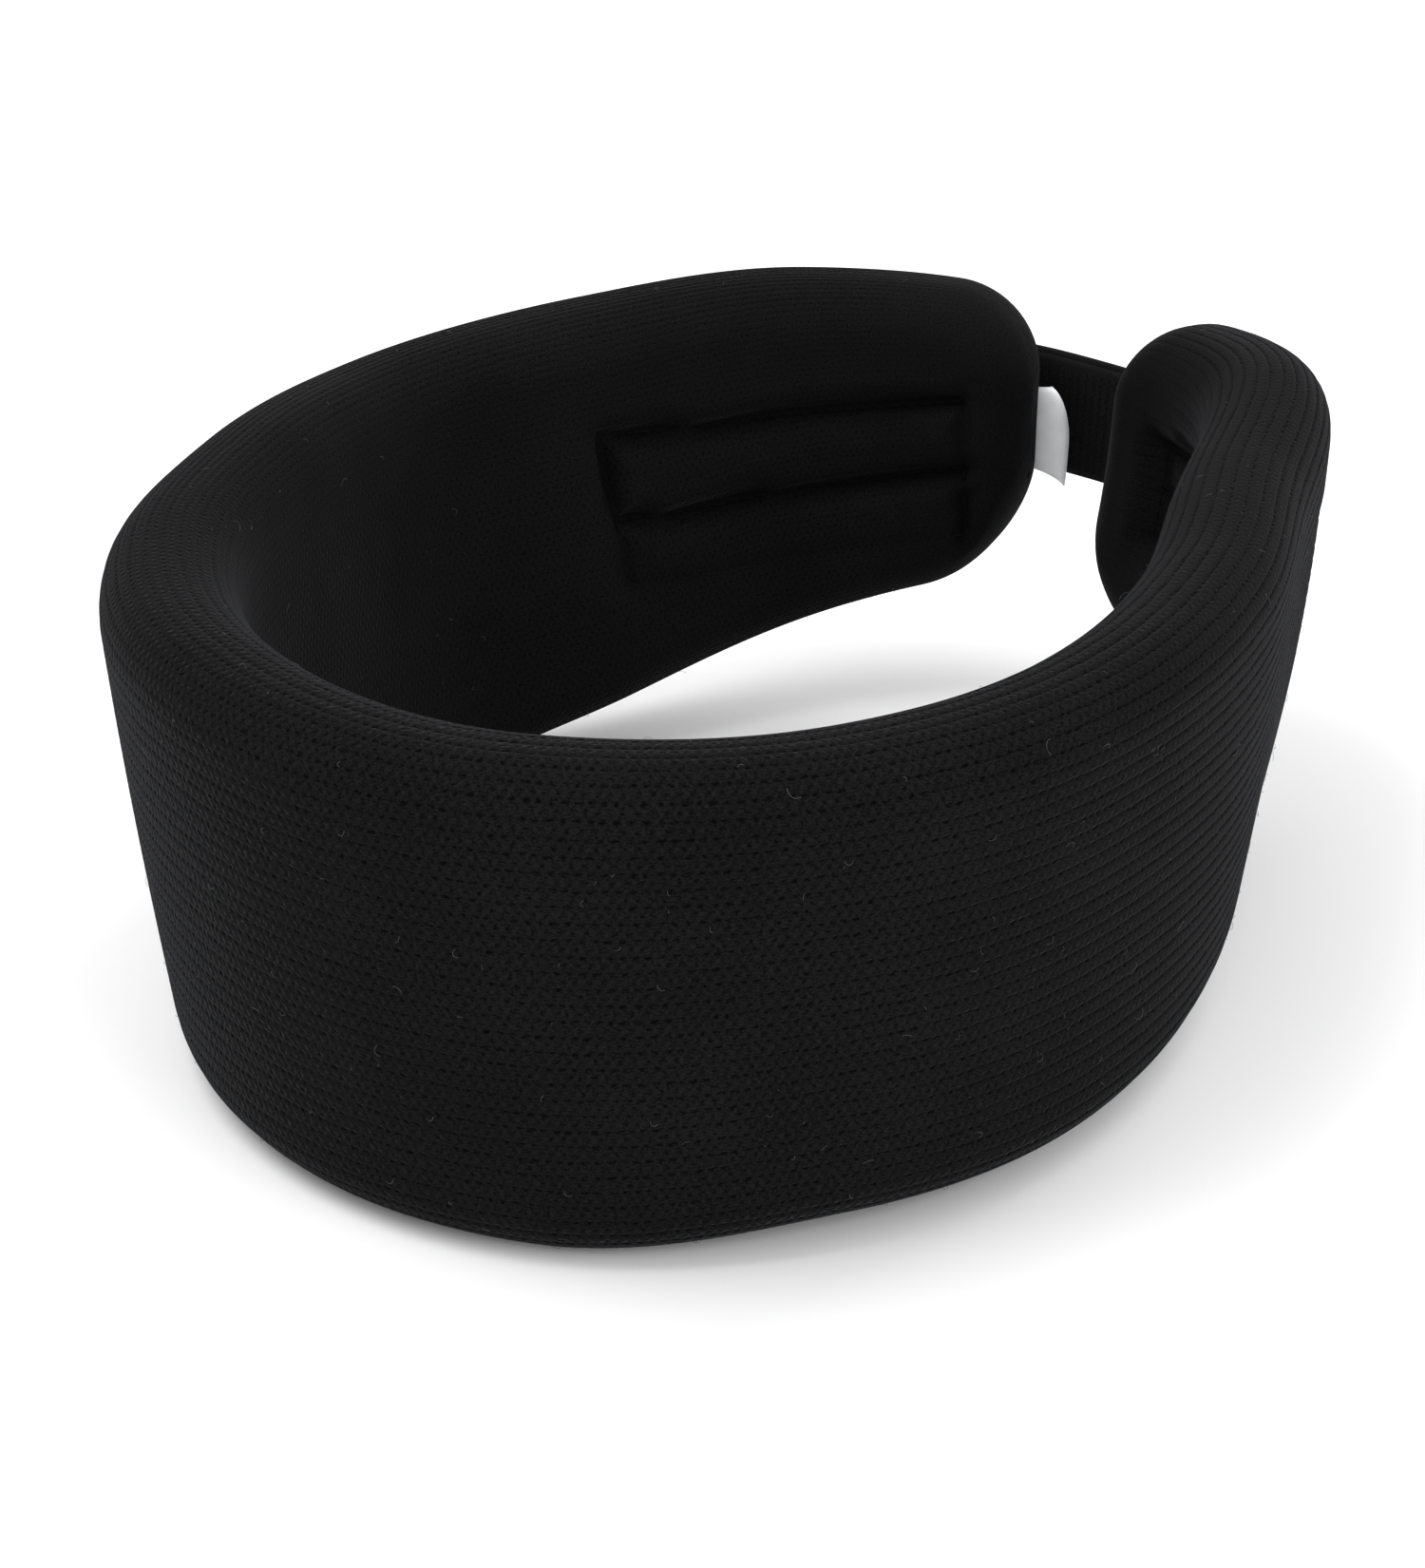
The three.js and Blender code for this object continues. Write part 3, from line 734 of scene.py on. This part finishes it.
draw_in = sunk(s, z, True) * outer_face + sunk(s, z, False) * inner_face
under_tape = (tape_cover(s, z, LOOP_SEAM) + tape_cover(s, z, ANCHOR_SEAM)) * outer_face
swell *= 1 - np.clip(under_tape, 0, 1)
near_tip = 0.1 + 0.9 * smooth((HALF - np.abs(s) - 6) / 40)
valley = np.abs((np.arange(columns) / POINTS_PER_WALE + 0.5) % 1 - 0.5)
to_right, to_left = smooth((s - 50) / 70), smooth((-s - 30) / 60)
furrow = bell(valley, 0.14) * (0.65 + 0.2 * to_right)
furrow += bell(0.5 - valley, 0.12) * (0.15 + 0.4 * to_left)
rib_depth = RIB_DEPTH * (1 - 0.75 * inner_face) * near_tip * np.clip(1 - 0.6 * under_tape, 0, 1)
soft = swell - draw_in
# painted shade along the inner face's sewn grooves, passed to the knit's colour as a mesh attribute
seam_shade_mask = inner_face * np.maximum.reduce([
    pull * bell(near, 2.2)
    for seam in (LOOP_SEAM, ANCHOR_SEAM) for near, pull in line_distances(s, z, seam)
])


def lowest_near(values, reach):
    """Each value's lowest neighbour, along the rows and, round the band, along the columns."""
    for axis in (0, 1):
        padded = np.pad(values, [(reach, reach) if axis == k else (0, 0) for k in (0, 1)],
                        mode="wrap" if axis else "edge")
        size = values.shape[axis]
        values = np.min([np.take(padded, range(k, k + size), axis) for k in range(2 * reach + 1)], 0)
    return values


cover = plain + plain_normals * (soft - rib_depth * furrow)[..., None]
cover[..., 2] = np.maximum(cover[..., 2], 0)
cover_normals = grid_normals(cover)
weave_along = s / COURSE
weave_round = np.repeat(np.arange(columns)[None] / POINTS_PER_WALE, len(stations), 0)
front_row = STATIONS + TIP_RINGS - 1


def bend_at_side(piece):
    """Bakes the piece's placement into its mesh and gives the piece back."""
    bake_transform(piece)
    return piece


def half_rows(side):
    """Rows of the cover's grid from the front to one tip."""
    return slice(front_row, None) if side > 0 else slice(front_row, None, -1)


def band_half(side, name, grid, normals, inner, material, places, period, seam_shade=None):
    """One half of a padded layer: its outer skin, an inner skin where it has one, and closed ends."""
    rows, count, _ = grid.shape
    faces = [list(f) for f in tube_faces(rows, count)]
    faces += strip_cap(list(range((rows - 1) * count, rows * count)))
    points, place_list = [grid.reshape(-1, 3)], [places.reshape(-1, 2)]
    normal_list = [normals.reshape(-1, 3)]
    if inner is None:
        faces += flip(strip_cap(list(range(count))))
    else:
        base, (inner_rows, inner_count, _) = rows * count, inner.shape
        each = count // inner_count
        faces += flip(tube_faces(inner_rows, inner_count, base))
        faces += flip(strip_cap([base + (inner_rows - 1) * inner_count + k for k in range(inner_count)]))
        for k in range(inner_count):
            here, after = base + k, base + (k + 1) % inner_count
            for j in range(each):
                a, b = k * each + j, (k * each + j + 1) % count
                faces.append([b, a, here])
            faces.append([(k + 1) * each % count, here, after])
        points.append(inner.reshape(-1, 3))
        normal_list.append(-side * grid_normals(inner).reshape(-1, 3))
        place_list.append(np.zeros((inner_rows * inner_count, 2)))
        seam_shade = np.concatenate([seam_shade.ravel(), np.zeros(inner_rows * inner_count)])
    points = np.concatenate(points)
    piece = make(
        name, points, outward(points, faces), material,
        np.concatenate(normal_list), np.concatenate(place_list), period, seam_shade,
    )
    return bend_at_side(piece)


INNER_EACH = 4  # inner layers have a point for every 4 of the cover's
FOAM_GAP = 0.3
deepest = lowest_near(soft, INNER_EACH) - RIB_DEPTH
for side, tag in ((-1, "left"), (1, "right")):
    rows = half_rows(side)
    blunt = edges(stations[rows], 0.0)[2] > 3 * COVER_WALL
    keep = np.flatnonzero(blunt)[::INNER_EACH]
    skin = (plain + plain_normals * (deepest - COVER_WALL)[..., None])[rows][keep][:, ::INNER_EACH]
    places = np.stack([weave_along, weave_round], -1)[rows]
    piece = band_half(
        side, "cover_" + tag, cover[rows], cover_normals[rows], skin, materials["knit"],
        places, WALES, seam_shade_mask[rows],
    )
    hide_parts("knit_cover_" + tag, "knit_cover_front")

    keep = np.flatnonzero(edges(stations[rows], 0.0)[2] > 4 * COVER_WALL)[::INNER_EACH]
    inward = (deepest - COVER_WALL - FOAM_GAP)[..., None]
    core = (plain + plain_normals * inward)[rows][keep][:, ::INNER_EACH]
    core_places = places[keep][:, ::INNER_EACH]
    piece = band_half(
        side, "foam_" + tag, core, grid_normals(core) * side, None, materials["foam"],
        core_places, WALES,
    )
    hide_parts("foam_core_" + tag, "foam_core_front")


# ---- surfaces that the tapes and threads lie on ----

def on_outer(s, z, lift):
    """Places on the sewn-down outer face, lift mm above it; the face turns in towards its edges."""
    bottom, top, half = edges(s, 0.0)
    radius = ROUNDING * half
    turned = np.clip(radius - np.minimum(z - bottom, top - z), 0, 0.95 * radius)
    return at(s, half - radius + np.sqrt(radius**2 - turned**2) - sunk(s, z, True) + lift, z)


def on_inner(s, z, lift):
    """Places on the drawn-in inner face; lift is negative away from the foam."""
    return at(s, -(HALF_THICK - sunk(s, z, False)) + lift, z)


def tape_grid(seam, margin, rows, columns):
    """Grid of (s, z) over a sewn tape that reaches margin mm past its stitch lines."""
    size_s = abs(seam["tip"][0][0] - seam["front"][0][0])
    size_z = seam["front"][1][1] - seam["front"][0][1]
    a = np.linspace(-margin / size_s, 1 + margin / size_s, rows)
    b = np.linspace(-margin / size_z, 1 + margin / size_z, columns)
    a, b = np.meshgrid(a, b, indexing="ij")
    return seam_point(seam, a, b)


LOOP_BASE = 0.9  # thickness of the tape under the pile
TAPE_GAP = 0.15  # between the cover and the tape
loop_grid = tape_grid(LOOP_SEAM, SEAM_MARGIN, 150, 72)
loop_s, loop_z = loop_grid[..., 0], loop_grid[..., 1]
loop_low = on_outer(loop_s, loop_z, TAPE_GAP)
loop_out = unit(on_outer(loop_s, loop_z, 1.0) - on_outer(loop_s, loop_z, 0.0))
points, faces = slab(loop_low, loop_out, LOOP_BASE)
base_count = len(points)

# loops of pile, in loose rows, left out along the stitch lines
pile_rows = np.meshgrid(np.arange(-249.5, -177.5, 1.05), np.arange(26.5, 59.5, 0.95))
pile_s, pile_z = (a.ravel() for a in pile_rows)
pile_s = pile_s + rng.normal(0, 0.22, pile_s.shape)
pile_z = pile_z + rng.normal(0, 0.2, pile_z.shape)
corners = np.array([loop_grid[0, 0], loop_grid[0, -1], loop_grid[-1, -1], loop_grid[-1, 0]])
inside = np.ones(len(pile_s), bool)
for (s0, z0), (s1, z1) in zip(corners, np.roll(corners, -1, 0)):
    raised = pile_z + sag(pile_s, LOOP_SEAM)
    from_edge = ((s1 - s0) * (raised - z0) - (z1 - z0) * (pile_s - s0)) / np.hypot(s1 - s0, z1 - z0)
    inside &= from_edge > 0.7
inside &= seam_distance(pile_s, pile_z, LOOP_SEAM) > 0.75
pile_s, pile_z = pile_s[inside][:, None], pile_z[inside][:, None]
turn = np.linspace(0, np.pi, 6)
facing = rng.uniform(0, np.pi, pile_s.shape)
spread, tall = 0.42 * np.cos(turn), rng.uniform(0.35, 0.65, pile_s.shape) * np.sin(turn)
loops = on_outer(
    pile_s + spread * np.cos(facing), pile_z + spread * np.sin(facing), 0.1 + LOOP_BASE + tall)
sideways = np.repeat((at(pile_s, 0, pile_z + 1) - at(pile_s, 0, pile_z)), len(turn), 1)
pile_points, pile_faces = tubes(loops, sideways + 0.31, np.full(len(turn), 0.085), 3)
faces = faces + [[v + base_count for v in f] for f in pile_faces]
points = np.concatenate([points, pile_points])
loop_tape = make("loop_tape_pile", points, faces, materials["loop_pile"])
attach(loop_tape, "left_wing")
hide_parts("loop_tape")

loop_route = [seam_point(LOOP_SEAM, a, b) for a, b in sewing_order(LOOP_SEAM)]
piece = stitches(
    "loop_tape_thread", along_route(loop_route, LOOP_STITCH),
    lambda s, z, lift: on_outer(s, z - sag(s, LOOP_SEAM), 0.1 + TAPE_GAP + LOOP_BASE + lift), "left_wing",
)
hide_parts("loop_tape_stitch")
piece = stitches(
    "loop_tape_bobbin_thread", along_route(loop_route, LOOP_STITCH),
    lambda s, z, lift: on_inner(s, z - sag(s, LOOP_SEAM), 0.6 * lift + 0.12), "left_wing", -1, 0.55,
)
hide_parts("loop_tape_bobbin_stitch")

ANCHOR_FACE = HALF_THICK - 1.9  # the sewn-down webbing's inner face, drawn into the padding
anchor_route = [seam_point(ANCHOR_SEAM, a, b) for a, b in sewing_order(ANCHOR_SEAM)]
piece = stitches(
    "anchor_thread", along_route(anchor_route, STRAP_STITCH),
    lambda s, z, lift: at(s, ANCHOR_FACE + WEB_THICK + 0.12 + lift, z), "right_wing",
)
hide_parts("anchor_stitch")
piece = stitches(
    "anchor_bobbin_thread", along_route(anchor_route, STRAP_STITCH),
    lambda s, z, lift: on_inner(s, z, 0.6 * lift + 0.12), "right_wing", -1, 0.55,
)
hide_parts("anchor_bobbin_stitch")


# ---- end seams: a line of small stitches down each tip ----

def end_seam(side, tag):
    """The thread of one tip's seam."""
    bottom, top, _ = edges(np.array([side * (HALF - 1.0)]), 0.0)
    heights = np.arange(bottom[0] + 2, top[0] - 4, END_STITCH)
    t = np.linspace(0.06, 0.94, len(STITCH_DIP))
    up = heights[:, None] + END_STITCH * t
    out = HALF - 0.35 + 0.8 * STITCH_DIP
    paths = at(side * np.broadcast_to(out, up.shape), 0.0, up)
    outs = np.broadcast_to(unit(at(side * HALF, 0, 40) - at(side * (HALF - 5), 0, 40)), paths.shape)
    points, faces = tubes(paths, outs, 0.75 * STITCH_RADIUS, 7)
    piece = make("end_seam_thread_" + tag, points, faces, materials["thread"])
    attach(piece, tag + "_wing")
    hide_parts("end_seam_" + tag)


end_seam(-1, "left")
end_seam(1, "right")


# ---- care label: a blank satin loop, folded at its outer edge ----
LABEL_LOW, LABEL_HIGH = 41.0, 54.2
LABEL_REACH, LABEL_SLANT, LABEL_ROOT = 4.6, 2.6, -1.5
LABEL_OFFSET, LABEL_GAP, LABEL_THICK = 3.2, 0.45, 0.16
rows, columns = 40, 28
way = np.linspace(-1, 1, rows)[:, None]
share = 1 - np.abs(way)
up = np.linspace(0, 1, columns)[None]
low_z = LABEL_LOW - LABEL_SLANT * share**1.3
label_z = low_z + (LABEL_HIGH - low_z) * up
corner = np.sqrt(1 - np.clip((up - 0.42) / 0.6, 0, 1) ** 2.1)
reach = LABEL_ROOT + (LABEL_REACH - LABEL_ROOT) * (0.8 * corner + 0.2) * np.sin(share * np.pi / 2) ** 0.9
curl = 0.9 * share**2 * np.sin(up * 2.4 + 0.2) + 1.4 * share * (1 - corner)
label_n = LABEL_OFFSET + LABEL_GAP * np.tanh(way * 6) + curl
grid = at(-(HALF + reach), label_n, label_z)
normals = unit(np.cross(np.gradient(grid, axis=0), np.gradient(grid, axis=1)))
points, faces = slab(grid, normals, LABEL_THICK)
label_way = np.broadcast_to(way * (LABEL_REACH - LABEL_ROOT), label_z.shape)
places = np.tile(np.stack([label_way, label_z], -1).reshape(-1, 2), (2, 1))
label = make("care_label_satin", points, faces, materials["label_satin"], places=places)
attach(label, "left_wing")
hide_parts("care_label")


# ---- strap: webbing sewn to the right wing, hook tape on its free part ----
STRAP_ON_LEFT_Z, STRAP_ON_RIGHT_Z = 47.9, 46.4
STRAP_LIFT_LEFT = 2.9  # webbing's inner face above the left wing's face
lane_s = np.concatenate([np.arange(199, 240, 8), [249.0], -np.arange(252, 187.9, -9.15)])
lane_n = np.where(lane_s > 0, ANCHOR_FACE, HALF_THICK + STRAP_LIFT_LEFT)
lane_z = np.where(lane_s > 0, STRAP_ON_RIGHT_Z, STRAP_ON_LEFT_Z)


def hermite(knots, control, places):
    """Smooth curve through control points at uneven knots."""
    slope = np.gradient(control, knots, axis=0)
    index = np.clip(np.searchsorted(knots, places, side="right") - 1, 0, len(knots) - 2)
    width = (knots[index + 1] - knots[index])[:, None]
    t = (places - knots[index])[:, None] / width
    return (
        (2 * t**3 - 3 * t**2 + 1) * control[index] + (t**3 - 2 * t**2 + t) * width * slope[index]
        + (3 * t**2 - 2 * t**3) * control[index + 1] + (t**3 - t**2) * width * slope[index + 1]
    )


def hermite_places(knots, guide, steps):
    """Knot values at shares (steps) of the length of the curve through guide."""
    fine = np.linspace(knots[0], knots[-1], 2000)
    way = np.linalg.norm(np.diff(hermite(knots, guide, fine), axis=0), axis=1)
    way = np.concatenate([[0], np.cumsum(way)])
    return np.interp(steps * way[-1], way, fine)


def lane(up, out, steps):
    """Points at shares (steps) of the strap's length, up and out from its inner face's middle line."""
    guide = at(lane_s, lane_n, lane_z)
    knots = np.concatenate([[0], np.cumsum(np.linalg.norm(np.diff(guide, axis=0), axis=1) ** 0.5)])
    control = at(lane_s, lane_n + out, lane_z + up)
    return hermite(knots, control, hermite_places(knots, guide, steps))


probe = lane(0.0, 0.0, np.linspace(0, 1, 800))
guide_length = float(np.linalg.norm(np.diff(probe, axis=0), axis=1).sum())


def strap_points(along, up, out):
    """Places on the strap: along in mm from its sewn end, up across it, out from its inner face."""
    along, up, out = np.broadcast_arrays(*(np.asarray(a, float) for a in (along, up, out)))
    share = np.clip(along.ravel() / guide_length, 0, 1)
    middle = lane(0.0, 0.0, share)
    raised = lane(1.0, 0.0, share)
    outward = lane(0.0, 1.0, share)
    places = middle + (raised - middle) * up.ravel()[:, None] + (outward - middle) * out.ravel()[:, None]
    return places.reshape(*along.shape, 3)


def strap_slab(start, end, half, out, thick, rows, columns, selvedge=0.0):
    """Points, faces and weave places of a tape on the strap's lane, with a raised edge where asked."""
    along = np.linspace(start, end, rows)[:, None]
    across = np.linspace(-half, half, columns)[None]
    grid = strap_points(along, across, out)
    normals = unit(strap_points(along, across, out + 1.0) - grid)
    points, faces = slab(grid, normals, thick)
    if selvedge:
        bead = selvedge * bell(half - np.abs(across), 0.9) * np.ones_like(along)
        lifted = (normals * bead[..., None]).reshape(-1, 3)
        points = points + np.concatenate([lifted, -lifted])
    places = np.stack(np.broadcast_arrays(along, across), -1).reshape(-1, 2)
    return points, faces, np.tile(places, (2, 1))


points, faces, places = strap_slab(0, guide_length, STRAP_HALF, 0.0, WEB_THICK, 300, 46, 0.05)
webbing = make("strap_webbing", points, faces, materials["webbing"], places=places)
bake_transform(webbing)
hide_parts("strap_anchor", "closure_strap")

HOOK_START, HOOK_END = 62.0, guide_length - 2.0
HOOK_BASE = 0.7
points, faces, places = strap_slab(HOOK_START, HOOK_END, HOOK_HALF, -HOOK_BASE - 0.02, HOOK_BASE, 200, 30)
base_count = len(points)
HOOK_PITCH, HOOK_ROW = 1.45, 1.15
hook_rows = np.meshgrid(
    np.arange(HOOK_START + 1.2, HOOK_END - 1, HOOK_PITCH),
    np.arange(-HOOK_HALF + 0.9, HOOK_HALF - 0.8, HOOK_ROW))
hook_along, hook_up = (a.ravel()[:, None] for a in hook_rows)
bend = np.array([0, 0.0, 0.03, 0.16, 0.32, 0.42])
stem = np.array([0.0, 0.35, 0.62, 0.78, 0.74, 0.55])
lean = np.where(np.round(hook_up / HOOK_ROW) % 2 == 0, 1.0, -1.0)
hooks = strap_points(hook_along + bend * lean, hook_up + 0 * bend, -HOOK_BASE - stem)
flat = 0 * bend
hook_out = strap_points(hook_along, hook_up + 1.0 + flat, 0.0) - strap_points(hook_along, hook_up + flat, 0.0)
hook_points, hook_faces = tubes(hooks, hook_out, np.array([0.13, 0.11, 0.1, 0.1, 0.09, 0.06]), 4)
faces = faces + [[v + base_count for v in f] for f in hook_faces]
points = np.concatenate([points, hook_points])
hook = make("hook_tape_nylon", points, faces, materials["hook_plastic"])
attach(hook, "strap")
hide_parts("hook_tape")

hook_low, hook_high = HOOK_START + SEAM_MARGIN, HOOK_END - SEAM_MARGIN
hook_edge = HOOK_HALF - SEAM_MARGIN
hook_route = [
    (hook_low, -hook_edge), (hook_low, hook_edge), (hook_high, hook_edge), (hook_high, -hook_edge),
    (hook_low, -hook_edge),
]
piece = stitches(
    "hook_tape_thread", along_route(hook_route, STRAP_STITCH),
    lambda along, up, lift: strap_points(along, up, WEB_THICK + 0.12 + lift), "strap",
)
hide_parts("hook_tape_stitch")


# ---- lint: a few pale curled fibres caught on the knit ----

LINT_RADIUS = 0.024


def lint(side, tag, count):
    """Curled fibres on one half of the cover, fewer on its inner face."""
    rows = half_rows(side)
    skin, out = cover[rows], cover_normals[rows]
    row = rng.integers(3, len(skin) - 20, count)
    column = rng.integers(0, skin.shape[1], count)
    by_wale = column / POINTS_PER_WALE
    inner = np.abs(by_wale - INNER_WALES) < 14
    kept = ~(inner & ((np.abs(stations[rows][row]) > 150) | (rng.uniform(size=count) < 0.4)))
    row, column, count = row[kept], column[kept], int(kept.sum())
    origin, up = skin[row, column], out[row, column]
    one = unit(np.cross(up, rng.normal(size=(count, 3))))
    two = np.cross(up, one)
    t = np.linspace(0, 1, 8)
    size = 0.25 + 0.9 * rng.uniform(0, 1, (count, 1)) ** 2
    curl = rng.uniform(0.8, 3.0, (count, 1)) * t
    paths = (
        origin[:, None] + one[:, None] * (size * np.sin(curl))[..., None]
        + two[:, None] * (size * (1 - np.cos(curl)))[..., None]
        + up[:, None] * (0.1 + 0.25 * np.sin(t * 3))[None, :, None]
    )
    paths[..., 2] = np.maximum(paths[..., 2], 0.1)
    points, faces = tubes(paths, np.broadcast_to(up[:, None], paths.shape), np.full(len(t), LINT_RADIUS), 4)
    piece = make("lint_" + tag, points, faces, materials["lint"])
    bend_at_side(piece)


lint(-1, "left", 330)
lint(1, "right", 400)


# ---- stage, light and camera ----
AZIMUTH, ELEVATION, ROLL = (np.radians(a) for a in (38.54, 25.23, -1.61))
DISTANCE, FOCAL = 571.5, 96.236
COLLAR_MIDDLE = (7.508, 0.8, 36.66)
AIM = (-15.51, -11.76)  # off the collar's middle, across and up the picture

floor_mesh = bpy.data.meshes.new("floor")
floor_mesh.from_pydata([(-6, -6, 0), (6, -6, 0), (6, 6, 0), (-6, 6, 0)], [], [(0, 1, 2, 3)])
floor = bpy.data.objects.new("floor", floor_mesh)
bpy.context.scene.collection.objects.link(floor)
t = Tree("floor_pale", 0.9, 0.1)
patches = t.noise(t.add("ShaderNodeTexCoord").outputs["Object"], 3.0)
t.colour(patches, (0.86, 0.86, 0.86), (0.88, 0.88, 0.88))
floor_mesh.materials.append(t.material)

scene = bpy.context.scene
scene.view_settings.view_transform = "Standard"
world = bpy.data.worlds.new("studio")
scene.world = world
world.use_nodes = True
world.node_tree.nodes["Background"].inputs[0].default_value = (1, 1, 1, 1)
world.node_tree.nodes["Background"].inputs[1].default_value = 0.95


def soft_light(name, place, size, power):
    """A square lamp at a place in metres, facing the collar."""
    lamp = bpy.data.lights.new(name, "AREA")
    lamp.shape, lamp.size, lamp.energy = "SQUARE", size, power
    light = bpy.data.objects.new(name, lamp)
    light.location = place
    light.rotation_mode = "QUATERNION"
    light.rotation_quaternion = (Vector(place) - Vector((0, 0, 0.04))).to_track_quat("Z", "Y")
    scene.collection.objects.link(light)


soft_light("key", (-0.5, -0.4, 1.3), 0.9, 12)
soft_light("fill", (1.2, -0.2, 0.6), 0.8, 8)
soft_light("rim", (0.1, 1.3, 0.9), 0.8, 8)

level = np.cos(ELEVATION)
back = Vector((np.sin(AZIMUTH) * level, -np.cos(AZIMUTH) * level, np.sin(ELEVATION)))
right = Vector((np.cos(AZIMUTH), np.sin(AZIMUTH), 0))
upward = back.cross(right)
target = Vector(COLLAR_MIDDLE) + right * AIM[0] + upward * AIM[1]
rolled_right = right * np.cos(ROLL) + upward * np.sin(ROLL)
rolled_up = upward * np.cos(ROLL) - right * np.sin(ROLL)
lens = bpy.data.cameras.new("camera")
lens.sensor_fit, lens.sensor_width, lens.lens = "HORIZONTAL", 36, FOCAL
lens.clip_start, lens.clip_end = 0.01, 20
camera = bpy.data.objects.new("camera", lens)
camera.matrix_world = Matrix.Translation((target + back * DISTANCE) / 1000) @ Matrix(
    (rolled_right, rolled_up, back)).transposed().to_4x4()
scene.collection.objects.link(camera)
scene.camera = camera
